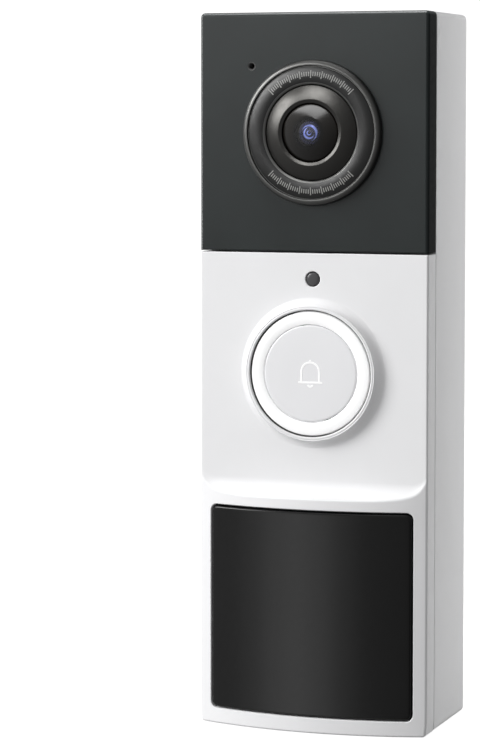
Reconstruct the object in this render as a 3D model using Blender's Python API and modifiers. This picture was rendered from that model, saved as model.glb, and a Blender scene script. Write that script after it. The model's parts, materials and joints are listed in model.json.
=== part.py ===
"""Battery video doorbell on a wall bracket: camera panel, push button, motion sensor, and what they hold.

Lengths are in millimetres in the code and become metres where a mesh or a location is made.
X is to the right, Z is up and the front faces -Y. The origin is on the wall plane, at mid height.
"""
import math

import bmesh
import bpy
from mathutils import Matrix, Vector

MM = 0.001

# Driving dimensions
WIDTH = 50.0
HEIGHT = 150.0
DEPTH = 30.0
BAND = HEIGHT / 3.0  # the front is three equal squares: camera, button, motion sensor
STRIP = 5.4  # depth of the covers' side walls, from the front face to the seam
WALL = 1.8
GAP = 0.3  # running gap between neighbouring pieces
BULGE_RADIUS = 75.0  # upright cylinder that forms the lower third
CORNER = 1.0
BACK_ROUND = 0.9
EDGE_ROUND = 0.4
SIDES = 32

# Places worked out from them
HALF = WIDTH / 2.0
TOP = HEIGHT / 2.0
FRONT = -DEPTH
SEAM = FRONT + STRIP
PANEL_BOTTOM = TOP - BAND
INNER_X = HALF - WALL
INNER_Z = TOP - WALL
COVER_INNER = FRONT + 2.0
BULGE_AXIS_Y = FRONT + math.sqrt(BULGE_RADIUS**2 - HALF**2)
HOUSING_BACK = -0.5

LENS_Z = BAND
SENSOR_Z = -BAND
MIC = (-13.5, 63.8)
STATUS_Z = 19.6

BUTTON_HOLE = 13.25
RING_RADIUS = 12.95
CAP_RADIUS = 10.1
WINDOW_WIDTH = 43.8
WINDOW_HEIGHT = 42.8
WINDOW_CORNER = 1.8

LEDGE_TOP = -22.4
LEDGE_DROP = 3.4

POCKET_FLOOR = -3.9
FLOOR_INNER = POCKET_FLOOR - 1.7
POCKET_X = 21.5
POCKET_TOP = 71.5
POCKET_BOTTOM = -57.5
BRACKET_THICK = 2.6
HOOK_X = 12.0
SWING_PIVOT = (0.0, -0.8, 73.5)
LATCH_PIVOT = (0.0, -1.6, -70.7)
PORT_X = -13.0
PORT_Z = -66.7
PORT_PIVOT = (PORT_X, -0.9, -61.9)
SYNC = (13.0, -66.5)

POST_X = 19.4
POST_Z = {"top": 69.0, "middle": 19.5, "bottom": -53.0}
CAMERA_SCREWS = {"upper": (13.0, 62.0), "lower": (-13.0, 38.0)}
BOARD_SCREWS = {"top": (0.0, 67.0), "left": (-13.6, -9.5), "right": (13.6, -9.5)}

BOARD_FRONT = -16.6
BOARD_BACK = -15.4
CAMERA_BOARD_FRONT = -20.1
BUTTON_BOARD_FRONT = -24.9

# Colour, metallic, roughness
WHITE_PLASTIC = ((0.86, 0.86, 0.87), 0.0, 0.38)
GREY_PLASTIC = ((0.58, 0.59, 0.60), 0.0, 0.45)
BLACK_PLASTIC = ((0.018, 0.019, 0.020), 0.0, 0.32)
DARK_METAL = ((0.06, 0.06, 0.062), 0.6, 0.35)
GREY_METAL = ((0.30, 0.30, 0.30), 0.9, 0.35)
STEEL = ((0.55, 0.56, 0.57), 1.0, 0.30)
GLASS = ((0.02, 0.022, 0.03), 0.0, 0.05)
RUBBER = ((0.03, 0.03, 0.03), 0.0, 0.75)
SILICONE = ((0.70, 0.70, 0.68), 0.0, 0.60)
BOARD_GREEN = ((0.02, 0.16, 0.07), 0.0, 0.45)
CHIP = ((0.03, 0.03, 0.035), 0.0, 0.40)
WRAP = ((0.10, 0.20, 0.36), 0.0, 0.35)
LIGHT_GUIDE = ((0.90, 0.90, 0.91), 0.0, 0.30)
CAP_WHITE = ((0.74, 0.74, 0.75), 0.0, 0.42)


def start_scene():
    """Empties the scene and makes the two collections."""
    for old in list(bpy.data.objects):
        bpy.data.objects.remove(old, do_unlink=True)
    made = []
    for name in ("video_doorbell", "cutters"):
        collection = bpy.data.collections.new(name)
        bpy.context.scene.collection.children.link(collection)
        made.append(collection)
    return made


PARTS, CUTTERS = start_scene()


# Building blocks -------------------------------------------------------------------------------


def object_from(name, bm, centre, rotation=None):
    """Links a bmesh, given in millimetres about its own centre, as an object."""
    bmesh.ops.scale(bm, vec=(MM, MM, MM), verts=bm.verts)
    bmesh.ops.recalc_face_normals(bm, faces=bm.faces)
    mesh = bpy.data.meshes.new(name)
    bm.to_mesh(mesh)
    bm.free()
    made = bpy.data.objects.new(name, mesh)
    PARTS.objects.link(made)
    if rotation:
        made.rotation_euler = rotation
    made.location = Vector(centre) * MM
    return made


def box(name, x, y, z, bevel=0.0):
    """A block between (low, high) pairs, with every edge rounded by bevel."""
    size = [high - low for low, high in (x, y, z)]
    bm = bmesh.new()
    bmesh.ops.create_cube(bm, size=1.0)
    bmesh.ops.scale(bm, vec=size, verts=bm.verts)
    if bevel:
        bmesh.ops.bevel(bm, geom=bm.edges[:], offset=bevel, segments=2, profile=0.5, affect="EDGES")
    return object_from(name, bm, [(low + high) / 2.0 for low, high in (x, y, z)])


def case_block(name, x, y, z, corners, rim_y, rim_round, rim_steps):
    """A block whose edges along Y are rounded at the given heights, and whose rim at rim_y is rounded."""
    centre = Vector([(low + high) / 2.0 for low, high in (x, y, z)])
    bm = bmesh.new()
    bmesh.ops.create_cube(bm, size=1.0)
    bmesh.ops.scale(bm, vec=[high - low for low, high in (x, y, z)], verts=bm.verts)

    def along_y_at_corner(edge):
        a, b = edge.verts
        level = a.co.x == b.co.x and a.co.z == b.co.z
        return level and any(abs(a.co.z + centre.z - height) < 0.01 for height in corners)

    rounded = [edge for edge in bm.edges if along_y_at_corner(edge)]
    bmesh.ops.bevel(bm, geom=rounded, offset=CORNER, segments=4, profile=0.5, affect="EDGES")
    level = rim_y - centre.y
    rim = [edge for edge in bm.edges if all(abs(v.co.y - level) < 0.01 for v in edge.verts)]
    bmesh.ops.bevel(bm, geom=rim, offset=rim_round, segments=rim_steps, profile=0.5, affect="EDGES")
    return object_from(name, bm, centre)


ALONG_Y = (math.pi / 2.0, 0.0, 0.0)  # turns local Z to -Y, out of the front
ALONG_BACK = (-math.pi / 2.0, 0.0, 0.0)  # turns local Z to +Y, out of the back


def cylinder(name, centre, radius, length, rotation=ALONG_Y, sides=SIDES):
    """A round bar centred on a point."""
    bm = bmesh.new()
    bmesh.ops.create_cone(
        bm, cap_ends=True, segments=sides, radius1=radius, radius2=radius, depth=length
    )
    return object_from(name, bm, centre, rotation)


def turned(name, profile, centre, rotation=ALONG_Y, sides=48):
    """A profile of (radius, height) points, top to bottom on its outer side, spun about local Z."""
    closed = profile[0][0] > 0.0
    bm = bmesh.new()
    points = [bm.verts.new((radius, 0.0, height)) for radius, height in profile]
    for first, second in zip(points, points[1:]):
        bm.edges.new((first, second))
    if closed:
        bm.edges.new((points[-1], points[0]))
    made = object_from(name, bm, centre, rotation)
    spin = made.modifiers.new("spin", "SCREW")
    spin.axis = "Z"
    spin.steps = sides
    spin.render_steps = sides
    spin.use_merge_vertices = True
    spin.merge_threshold = 1e-6
    spin.use_smooth_shade = True
    return made


OUTLINE_TURNS = {
    "XZ": Matrix(((1, 0, 0), (0, 0, -1), (0, 1, 0))).to_4x4(),
    "XY": Matrix.Identity(4),
    "YZ": Matrix(((0, 0, 1), (1, 0, 0), (0, 1, 0))).to_4x4(),
}


def outline_plate(name, points, plane, low, high):
    """A flat outline in a plane, filled and extruded from low to high along the plane's normal axis."""
    curve = bpy.data.curves.new(name, "CURVE")
    curve.dimensions = "2D"
    curve.fill_mode = "BOTH"
    curve.extrude = (high - low) / 2.0 * MM
    spline = curve.splines.new("POLY")
    spline.points.add(len(points) - 1)
    for point, (u, v) in zip(spline.points, points):
        point.co = (u * MM, v * MM, 0.0, 1.0)
    spline.use_cyclic_u = True
    drawn = bpy.data.objects.new(name + "_outline", curve)
    CUTTERS.objects.link(drawn)
    middle = (low + high) / 2.0 * MM
    offset = {"XZ": (0, middle, 0), "XY": (0, 0, middle), "YZ": (middle, 0, 0)}[plane]
    drawn.matrix_world = Matrix.Translation(offset) @ OUTLINE_TURNS[plane]
    bpy.context.view_layer.update()
    evaluated = drawn.evaluated_get(bpy.context.evaluated_depsgraph_get())
    mesh = bpy.data.meshes.new_from_object(evaluated)
    mesh.name = name
    bm = bmesh.new()
    bm.from_mesh(mesh)
    bmesh.ops.remove_doubles(bm, verts=bm.verts, dist=1e-6)
    bmesh.ops.recalc_face_normals(bm, faces=bm.faces)
    bm.to_mesh(mesh)
    bm.free()
    made = bpy.data.objects.new(name, mesh)
    PARTS.objects.link(made)
    made.matrix_world = drawn.matrix_world.copy()
    bpy.data.objects.remove(drawn, do_unlink=True)
    bpy.data.curves.remove(curve)
    return made


def arc(centre, radius, start, end, steps):
    """Points on an arc, with its angles in degrees."""
    points = []
    for step in range(steps + 1):
        angle = math.radians(start + (end - start) * step / steps)
        points.append((centre[0] + radius * math.cos(angle), centre[1] + radius * math.sin(angle)))
    return points


def rounded_rectangle(centre, width, height, radius):
    """Outline of a rectangle with round corners, anticlockwise."""
    points = []
    for sx, sy, start in ((1, 1, 0), (-1, 1, 90), (-1, -1, 180), (1, -1, 270)):
        corner = (
            centre[0] + sx * (width / 2.0 - radius),
            centre[1] + sy * (height / 2.0 - radius),
        )
        points += arc(corner, radius, start, start + 90, 4)
    return points


def bulge_outline(radius, half_width, base_y):
    """Plan of the lower third's bulge, seen from above: an arc closed by a straight base."""
    swing = math.degrees(math.asin(half_width / radius))
    front = arc((0.0, BULGE_AXIS_Y), radius, 270 - swing, 270 + swing, 24)
    return front + [(half_width, base_y), (-half_width, base_y)]


def combine(target, tool, operation):
    """Adds one Boolean modifier, and puts its tool away with the cutters."""
    step = target.modifiers.new(tool.name, "BOOLEAN")
    step.operation = operation
    step.solver = "EXACT"
    step.object = tool
    if tool.name in PARTS.objects:
        PARTS.objects.unlink(tool)
        CUTTERS.objects.link(tool)
        tool.hide_render = True
        tool.display_type = "WIRE"


def cut(target, *tools):
    """Takes each tool away from the target."""
    for tool in tools:
        combine(target, tool, "DIFFERENCE")


def join(target, *tools):
    """Adds each tool to the target."""
    for tool in tools:
        combine(target, tool, "UNION")


def finish(made, look):
    """Gives a sub-part its own Principled material and smooth shading on its round faces."""
    colour, metallic, roughness = look
    material = bpy.data.materials.new(made.name)
    material.use_nodes = True
    shader = material.node_tree.nodes["Principled BSDF"]
    shader.inputs["Base Color"].default_value = (*colour, 1.0)
    shader.inputs["Metallic"].default_value = metallic
    shader.inputs["Roughness"].default_value = roughness
    made.data.materials.clear()
    made.data.materials.append(material)
    made.data.shade_smooth()
    made.data.set_sharp_from_angle(angle=math.radians(35))
    return made


def empty(name, place):
    """A parent that stands on a moving piece's axis."""
    made = bpy.data.objects.new(name, None)
    PARTS.objects.link(made)
    made.location = Vector(place) * MM
    return made


def carry(parent, *children):
    """Parents pieces to an empty without moving them."""
    for child in children:
        child.parent = parent
        child.location = child.location - parent.location


def along_front(height):
    """World Y of a height above the flat front face."""
    return FRONT - height


def screw(name, x, z, head_y, points_to_front, length, shaft=0.85, head=1.7):
    """A pan-head screw along Y, with its head's inner face at head_y."""
    rotation = ALONG_BACK if points_to_front else ALONG_Y
    profile = [
        (0.0, 1.1),
        (head * 0.7, 1.1),
        (head, 0.6),
        (head, 0.0),
        (shaft, 0.0),
        (shaft, -length + 0.5),
        (shaft * 0.4, -length),
        (0.0, -length),
    ]
    made = turned(name, profile, (x, head_y, z), rotation, sides=12)
    return finish(made, STEEL)


def board(name, x, y, z, holes=()):
    """A circuit board facing along Y, with round holes."""
    made = box(name, x, y, z)
    for index, (hole_x, hole_z, radius) in enumerate(holes):
        middle = (y[0] + y[1]) / 2.0
        cut(made, cylinder(f"{name}_hole_{index}", (hole_x, middle, hole_z), radius, 4.0, sides=16))
    return finish(made, BOARD_GREEN)


# Wall bracket ----------------------------------------------------------------------------------


def wall_bracket():
    """Plate with two hooks that the housing hangs on, screw slots, and the root of the latch."""
    plate = case_block(
        "wall_bracket", (-20.5, 20.5), (-BRACKET_THICK, 0.0), (-56.8, 66.0),
        (-56.8, 66.0), -BRACKET_THICK, 0.4, 1,
    )
    for side, x in (("left", -HOOK_X), ("right", HOOK_X)):
        profile = [(-1.5, 62.0), (-1.5, 65.2), (-2.4, 67.3), (-6.5, 67.3), (-6.5, 70.5),
                   (-7.3, 70.5), (-7.3, 65.4), (-2.4, 65.4), (-2.4, 62.0)]
        join(plate, outline_plate(f"hook_{side}", profile, "YZ", x - 4.0, x + 4.0))
    join(plate, box("latch_tab", (-4.2, 4.2), (-2.4, 0.0), (-72.8, -55.0)))
    cut(plate, box("latch_slot", (-3.3, 3.3), (-4.0, 1.0), (-71.9, -69.5)))
    for name, z, wide, tall in (("upper", 48.0, 4.4, 10.0), ("lower", -40.0, 10.0, 4.4)):
        slot = rounded_rectangle((0.0, z), wide, tall, 2.19)
        sink = rounded_rectangle((0.0, z), wide + 4.0, tall + 4.0, 4.1)
        cut(plate, outline_plate(f"screw_slot_{name}", slot, "XZ", -4.0, 1.0))
        cut(plate, outline_plate(f"screw_sink_{name}", sink, "XZ", -4.0, -1.5))
    for side, x in (("left", -11.5), ("right", 11.5)):
        for level, z in (("upper", 25.0), ("lower", -18.0)):
            opening = rounded_rectangle((x, z), 8.0, 30.0, 3.0)
            cut(plate, outline_plate(f"weight_saver_{side}_{level}", opening, "XZ", -4.0, 1.0))
    return finish(plate, BLACK_PLASTIC)


def release_latch():
    """Spring arm that points forward from the bracket, with a tooth that drops behind the housing's lip."""
    arm = box("release_latch", (-3.0, 3.0), (-8.4, -0.8), (-71.3, -70.1))
    arm_tooth = [(-8.4, -70.4), (-6.6, -70.4), (-6.6, -73.9), (-7.6, -73.9), (-8.4, -72.6)]
    join(arm, outline_plate("latch_tooth", arm_tooth, "YZ", -2.6, 2.6))
    finish(arm, STEEL)
    carry(empty("latch_axis", LATCH_PIVOT), arm)
    return arm


# Housing ---------------------------------------------------------------------------------------


def rear_housing():
    """Tub behind the seam, with the bracket's pocket, hook slots, latch chamber and screw posts."""
    tub = case_block(
        "rear_housing", (-HALF, HALF), (SEAM + GAP, HOUSING_BACK), (-TOP, TOP),
        (-TOP, TOP), HOUSING_BACK, BACK_ROUND, 4,
    )
    inner_x = (-INNER_X, INNER_X)
    cut(tub, box("tub_hollow", inner_x, (SEAM - 2.0, FLOOR_INNER), (-INNER_Z, INNER_Z)))
    for side, x in (("left", (-INNER_X, -6.4)), ("right", (6.4, INNER_X))):
        cut(tub, box(f"port_hollow_{side}", x, (FLOOR_INNER - 1.0, -2.6), (-INNER_Z, -59.2)))
    cut(tub, box("bracket_pocket", (-POCKET_X, POCKET_X), (POCKET_FLOOR, 2.0), (POCKET_BOTTOM, POCKET_TOP)))
    join(tub, box("latch_housing", (-6.2, 6.2), (-11.2, -5.0), (-74.0, -61.8)))
    for name, (x, z) in BOARD_SCREWS.items():
        middle = (FLOOR_INNER + BOARD_BACK) / 2.0 + 0.3
        join(tub, cylinder(f"board_post_{name}", (x, middle, z), 2.2, 10.0, sides=16))
        cut(tub, cylinder(f"board_bore_{name}", (x, middle - 2.0, z), 1.0, 9.0, sides=12))
    cut(tub, box("latch_chamber", (-5.0, 5.0), (-10.0, 2.0), (-INNER_Z, -63.0)))
    cut(tub, box("latch_way", (-5.0, 5.0), (POCKET_FLOOR, 2.0), (-64.0, POCKET_BOTTOM + 1.0)))
    cut(tub, box("latch_recess", (-3.0, 3.0), (-8.8, -6.3), (-74.3, -72.0)))
    cut(tub, cylinder("release_hole", (0.0, -7.5, -74.5), 0.9, 3.0, (0.0, 0.0, 0.0), sides=16))
    for side, x in (("left", -HOOK_X), ("right", HOOK_X)):
        cut(tub, box(f"hook_slot_{side}", (x - 4.6, x + 4.6), (-8.0, 2.0), (62.5, 67.6)))
    for level, z in POST_Z.items():
        for side, x in (("left", -POST_X), ("right", POST_X)):
            cut(tub, cylinder(f"screw_way_{level}_{side}", (x, -5.0, z), 1.5, 4.0, sides=12))
            cut(tub, cylinder(f"screw_seat_{level}_{side}", (x, -3.3, z), 2.3, 2.0, sides=16))
    slots = 9
    for index in range(slots):
        x = (index - (slots - 1) / 2.0) * 2.6
        slot = rounded_rectangle((x, -17.2), 1.2, 6.0, 0.59)
        cut(tub, outline_plate(f"sound_slot_{index}", slot, "XY", -77.0, -72.0))
    cut(tub, box("port_recess", (PORT_X - 6.6, PORT_X + 6.6), (-2.1, 2.0), (-71.2, -61.2)))
    cut(tub, outline_plate(
        "port_opening", rounded_rectangle((PORT_X, PORT_Z), 9.8, 4.0, 1.9), "XZ", -4.0, 1.0))
    cut(tub, cylinder("sync_hole", (SYNC[0], -1.5, SYNC[1]), 2.8, 6.0, sides=24))
    return finish(tub, WHITE_PLASTIC)


def housing_gasket():
    """Rubber frame just inside the seam."""
    y = (SEAM + GAP, SEAM + 2.0)
    outer = rounded_rectangle((0.0, 0.0), 2 * INNER_X - 0.6, 2 * INNER_Z - 0.6, 0.8)
    inner = rounded_rectangle((0.0, 0.0), 2 * INNER_X - 2.6, 2 * INNER_Z - 2.6, 0.5)
    ring = outline_plate("housing_gasket", outer, "XZ", *y)
    cut(ring, outline_plate("gasket_inside", inner, "XZ", y[0] - 1.0, y[1] + 1.0))
    return finish(ring, RUBBER)


def housing_screws():
    """Six long screws through the pocket floor into the covers' posts."""
    for level, z in POST_Z.items():
        for side, x in (("left", -POST_X), ("right", POST_X)):
            screw(f"housing_screw_{level}_{side}", x, z, -4.1, True, 14.0, 1.05, 2.0)


def add_post(cover, name, x, z, front_y, back_y, radius, bore, bore_depth):
    """A round post that runs back from a cover and takes a screw."""
    length = back_y - front_y
    middle = (front_y + back_y) / 2.0
    join(cover, cylinder(f"post_{name}", (x, middle, z), radius, length, sides=16))
    bore_middle = back_y - bore_depth / 2.0 + 0.5
    cut(cover, cylinder(f"bore_{name}", (x, bore_middle, z), bore, bore_depth + 1.0, sides=12))


def front_cover():
    """White cover over the lower two thirds: a flat face, a ledge and a bulge with the sensor's window."""
    z = (-TOP, PANEL_BOTTOM)
    cover = case_block("front_cover", (-HALF, HALF), (FRONT, SEAM), z, (-TOP,), FRONT, EDGE_ROUND, 2)
    cut(cover, cylinder("status_hole", (0.0, FRONT, STATUS_Z), 1.6, 8.0, sides=24))
    bulge = outline_plate(
        "bulge", bulge_outline(BULGE_RADIUS, HALF - EDGE_ROUND, FRONT + 0.5), "XY", -TOP, LEDGE_TOP)
    cove = arc((FRONT - LEDGE_DROP + 0.02, LEDGE_TOP), LEDGE_DROP, 0, -90, 8)
    above = [(FRONT - 8.0, LEDGE_TOP - LEDGE_DROP), (FRONT - 8.0, LEDGE_TOP + 3.0), (FRONT + 0.02, LEDGE_TOP + 3.0)]
    cut(bulge, outline_plate("ledge_cove", cove + above, "YZ", -HALF - 2.0, HALF + 2.0))
    join(cover, bulge)
    surround = [(0.0, 1.9), (13.75, 1.9)] + arc((15.7, 1.9), 1.75, 190, 262, 5) + [(15.6, -0.8), (0.0, -0.8)]
    join(cover, turned("button_surround", surround, (0.0, FRONT, 0.0)))
    cut(cover, box("cover_hollow", (-INNER_X, INNER_X), (COVER_INNER, SEAM + 1.0),
                   (-INNER_Z, PANEL_BOTTOM - WALL)))
    cut(cover, outline_plate(
        "bulge_hollow", bulge_outline(BULGE_RADIUS - 2.0, HALF - 2.5, FRONT + 2.5), "XY",
        -INNER_Z + 0.2, LEDGE_TOP - LEDGE_DROP - 1.8))
    half_side = (math.pi / 2.0, math.pi / 48.0, 0.0)  # keeps the hole's corners off the surround's spokes
    cut(cover, cylinder("button_hole", (0.0, FRONT, 0.0), BUTTON_HOLE, 8.0, half_side, sides=48))
    hole = rounded_rectangle(
        (0.0, SENSOR_Z), WINDOW_WIDTH + 2 * GAP, WINDOW_HEIGHT + 2 * GAP, WINDOW_CORNER + GAP)
    cut(cover, outline_plate("window_hole", hole, "XZ", FRONT - 8.0, COVER_INNER + 1.0))
    for side, x in (("left", -POST_X), ("right", POST_X)):
        reach = sorted((x, x + math.copysign(4.4, x)))
        join(cover, box(f"gusset_{side}", reach, (-27.5, -25.3), (-55.0, -51.0)))
        add_post(cover, f"middle_{side}", x, POST_Z["middle"], COVER_INNER - 0.6, -6.0, 2.1, 1.25, 14.0)
        add_post(cover, f"bottom_{side}", x, POST_Z["bottom"], -27.5, -6.0, 2.1, 1.25, 14.0)
    return finish(cover, WHITE_PLASTIC)


def camera_panel():
    """Dark cover over the top third, with the lens hole and the microphone hole."""
    z = (PANEL_BOTTOM + GAP, TOP)
    panel = case_block("camera_panel", (-HALF, HALF), (FRONT, SEAM), z, (TOP,), FRONT, EDGE_ROUND, 2)
    cut(panel, box("panel_hollow", (-INNER_X, INNER_X), (FRONT + WALL, SEAM + 1.0), (z[0] + WALL, INNER_Z)))
    cut(panel, cylinder("lens_hole", (0.0, FRONT, LENS_Z), 14.0, 8.0, sides=48))
    cut(panel, cylinder("mic_hole", (MIC[0], FRONT, MIC[1]), 0.7, 8.0, sides=16))
    for side, x in (("left", -POST_X), ("right", POST_X)):
        add_post(panel, f"top_{side}", x, POST_Z["top"], FRONT + 1.2, -6.0, 2.1, 1.25, 14.0)
    for name, (x, height) in CAMERA_SCREWS.items():
        add_post(panel, f"camera_{name}", x, height, FRONT + 1.2, CAMERA_BOARD_FRONT - GAP, 1.9, 0.95, 5.0)
    return finish(panel, BLACK_PLASTIC)


# Camera ----------------------------------------------------------------------------------------


def dome_arc(apex, radius, out_to, steps):
    """Profile points of a spherical cap from its apex outwards."""
    centre = apex - radius
    points = []
    for step in range(steps + 1):
        r = out_to * step / steps
        points.append((r, centre + math.sqrt(radius**2 - r**2)))
    return points


def camera():
    """Rings, dome, lens and sensor, all on one axis, and the board that holds them."""
    at = (0.0, FRONT, LENS_Z)
    shoulder = arc((14.3, 0.8), 0.8, 90, 0, 4)
    bezel = [(10.25, 1.5), (14.1, 1.5)] + shoulder + [(15.1, 0.1), (13.7, 0.1), (13.7, -2.5), (10.15, -2.5), (10.15, 1.4)]
    finish(turned("lens_bezel", bezel, at), DARK_METAL)
    cone = [(6.55, 2.2), (6.7, 2.2), (9.85, 1.1), (9.85, -1.5), (6.45, -1.5), (6.45, 2.1)]
    finish(turned("lens_cone", cone, at), GREY_METAL)
    dome = dome_arc(4.0, 8.95, 6.1, 6) + [(6.1, 0.6), (5.0, 0.6)] + dome_arc(3.0, 7.95, 5.0, 4)[::-1]
    finish(turned("lens_dome", dome, at, sides=36), GLASS)
    element = dome_arc(2.2, 5.0, 3.0, 3) + [(3.0, 0.4), (0.0, 0.4)]
    finish(turned("lens_element", element, at, sides=24), GLASS)
    barrel = [(3.3, 1.0), (4.6, 1.0), (4.6, -7.0), (2.0, -7.0), (2.0, -0.2), (3.3, -0.2)]
    finish(turned("lens_barrel", barrel, at, sides=24), BLACK_PLASTIC)
    holder = box("lens_holder", (-6.5, 6.5), (-27.0, -21.6), (LENS_Z - 6.5, LENS_Z + 6.5))
    cut(holder, cylinder("holder_bore", (0.0, -24.0, LENS_Z), 4.9, 8.0))
    finish(holder, BLACK_PLASTIC)
    finish(box("image_sensor", (-4.0, 4.0), (-21.3, -20.4), (LENS_Z - 3.5, LENS_Z + 3.5)), CHIP)
    holes = [(x, z, 1.1) for x, z in CAMERA_SCREWS.values()]
    board_y = (CAMERA_BOARD_FRONT, CAMERA_BOARD_FRONT + 1.0)
    board("camera_board", (-15.5, 15.5), board_y, (LENS_Z - 14.5, LENS_Z + 14.5), holes)
    for name, (x, z) in CAMERA_SCREWS.items():
        screw(f"camera_screw_{name}", x, z, board_y[1] + GAP, True, 5.0)


def microphone():
    """Rubber ring, microphone and its small board behind the panel's hole."""
    x, z = MIC
    ring = [(0.8, 0.0), (2.2, 0.0), (2.2, -1.0), (0.8, -1.0)]
    finish(turned("mic_gasket", ring, (x, FRONT + WALL + 0.3, z), sides=20), RUBBER)
    finish(box("microphone", (x - 1.9, x + 1.9), (-26.6, -25.5), (z - 1.5, z + 1.5)), STEEL)
    board("mic_board", (x - 4.0, x + 3.0), (-25.2, -24.4), (z - 3.0, z + 4.0))


# Button ----------------------------------------------------------------------------------------


def push_button():
    """Cap, light ring and carrier that travel together, and the switch's plunger that follows them."""
    at = (0.0, FRONT, 0.0)
    dish = [(0.0, 1.42), (5.0, 1.44), (9.8, 1.5), (CAP_RADIUS, 1.3), (CAP_RADIUS, -0.4), (0.0, -0.4)]
    cap = finish(turned("button_cap", dish, at), CAP_WHITE)
    ring = [(10.25, 1.4), (10.5, 1.55), (12.6, 1.55), (RING_RADIUS, 1.2), (RING_RADIUS, -2.3),
            (14.4, -2.3), (14.4, -3.2), (10.25, -3.2)]
    light = finish(turned("light_ring", ring, at), LIGHT_GUIDE)
    web = [(0.0, -0.7), (CAP_RADIUS, -0.7), (CAP_RADIUS, -1.9), (0.0, -1.9)]
    carrier = finish(turned("button_carrier", web, at, sides=32), LIGHT_GUIDE)
    carry(empty("button_axis", at), cap, light, carrier)
    stem = [(0.0, -2.2), (1.6, -2.2), (1.6, -3.9), (0.0, -3.9)]
    plunger = finish(turned("tact_plunger", stem, at, sides=24), BLACK_PLASTIC)
    carry(empty("plunger_axis", at), plunger)


def button_electronics():
    """Tactile switch, ring of lamps, light sensor and seal on the board behind the button."""
    switch = box("tact_switch", (-3.0, 3.0), (along_front(-3.2), along_front(-4.8)), (-3.0, 3.0))
    cut(switch, cylinder("plunger_bore", (0.0, along_front(-2.6), 0.0), 1.9, 4.0, sides=24))
    finish(switch, STEEL)
    plate = box("button_board", (-15.5, 15.5), (BUTTON_BOARD_FRONT, BUTTON_BOARD_FRONT + 1.0), (-15.5, 22.4))
    lamps = 8
    for index in range(lamps):
        angle = 2.0 * math.pi * (index + 0.5) / lamps
        x = 11.6 * math.cos(angle)
        z = 11.6 * math.sin(angle)
        join(plate, box(f"lamp_{index}", (x - 0.8, x + 0.8), (-25.6, -24.5), (z - 0.8, z + 0.8)))
    finish(plate, BOARD_GREEN)
    seal = [(14.75, -2.2), (15.45, -2.2), (15.45, -4.8), (14.75, -4.8)]
    finish(turned("button_seal", seal, (0.0, FRONT, 0.0), sides=32), SILICONE)
    pipe = [(0.0, 0.05), (1.2, 0.05), (1.4, -0.1), (1.4, -2.3), (2.1, -2.3), (2.1, -3.1), (0.0, -3.1)]
    finish(turned("status_window", pipe, (0.0, FRONT, STATUS_Z), sides=24), BLACK_PLASTIC)
    finish(box("light_sensor", (-1.0, 1.0), (-26.2, -25.2), (STATUS_Z - 1.0, STATUS_Z + 1.0)), CHIP)


# Motion sensor ---------------------------------------------------------------------------------


def motion_sensor():
    """Curved dark window, the sensor can behind it and the can's board."""
    outline = rounded_rectangle((0.0, SENSOR_Z), WINDOW_WIDTH, WINDOW_HEIGHT, WINDOW_CORNER)
    window = outline_plate("pir_window", outline, "XZ", FRONT - 8.0, FRONT + 4.0)
    front = arc((0.0, BULGE_AXIS_Y - 0.1), BULGE_RADIUS, 252, 288, 20)
    back = arc((0.0, BULGE_AXIS_Y - 0.1), BULGE_RADIUS - 1.6, 288, 252, 20)
    shell = outline_plate("window_shell", front + back, "XY", -TOP, LEDGE_TOP)
    combine(window, shell, "INTERSECT")
    finish(window, BLACK_PLASTIC)
    can = [(0.0, 4.2), (3.6, 4.2), (4.1, 3.8), (4.1, 0.5), (4.6, 0.4), (4.6, 0.0), (0.0, 0.0)]
    finish(turned("pir_sensor", can, (0.0, -24.4, SENSOR_Z), sides=32), STEEL)
    board("pir_board", (-13.0, 13.0), (-24.1, -23.1), (SENSOR_Z - 9.0, SENSOR_Z + 9.0))


# Electronics and battery -----------------------------------------------------------------------


def main_electronics():
    """Main board with its shield, processor and screws, and the aerial above it."""
    holes = [(x, z, 1.2) for x, z in BOARD_SCREWS.values()]
    board("main_board", (-16.8, 16.8), (BOARD_FRONT, BOARD_BACK), (-13.5, 70.0), holes)
    for name, (x, z) in BOARD_SCREWS.items():
        screw(f"board_screw_{name}", x, z, BOARD_FRONT - GAP, False, 6.0)
    can = box("radio_shield", (-9.0, 9.0), (-15.1, -12.7), (42.0, 58.0), bevel=0.3)
    finish(can, STEEL)
    finish(box("processor", (-6.0, 6.0), (-15.1, -13.7), (16.0, 28.0)), CHIP)
    finish(box("wifi_antenna", (-11.0, 11.0), (-21.0, -12.0), (72.0, 72.7)), BOARD_GREEN)


def battery():
    """Flat cell in a tray, with a foam pad towards the front."""
    z = (-60.0, -16.5)
    finish(box("battery_pack", (-16.2, 16.2), (-21.6, -7.1), z, bevel=1.6), WRAP)
    tray = box("battery_tray", (-17.1, 17.1), (-15.0, -6.0), (z[0] - 1.3, z[1] + 1.3))
    cut(tray, box("tray_hollow", (-16.5, 16.5), (-17.0, -6.8), (z[0] - 0.4, z[1] + 0.4)))
    finish(tray, GREY_PLASTIC)
    finish(box("battery_foam", (-13.0, 13.0), (-22.8, -21.9), (-56.0, -20.0)), RUBBER)


def speaker():
    """Speaker that faces down over the sound slots, on a rubber frame."""
    x, y = (-14.0, 14.0), (-22.0, -12.4)
    body = box("speaker", x, y, (-71.9, -63.4), bevel=0.6)
    outline = rounded_rectangle((0.0, -17.2), 25.0, 7.2, 1.0)
    cut(body, outline_plate("speaker_mouth", outline, "XY", -73.0, -70.4))
    finish(body, BLACK_PLASTIC)
    frame = box("speaker_gasket", x, y, (-72.9, -72.2))
    cut(frame, outline_plate("gasket_mouth", outline, "XY", -75.0, -70.0))
    finish(frame, RUBBER)


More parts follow.
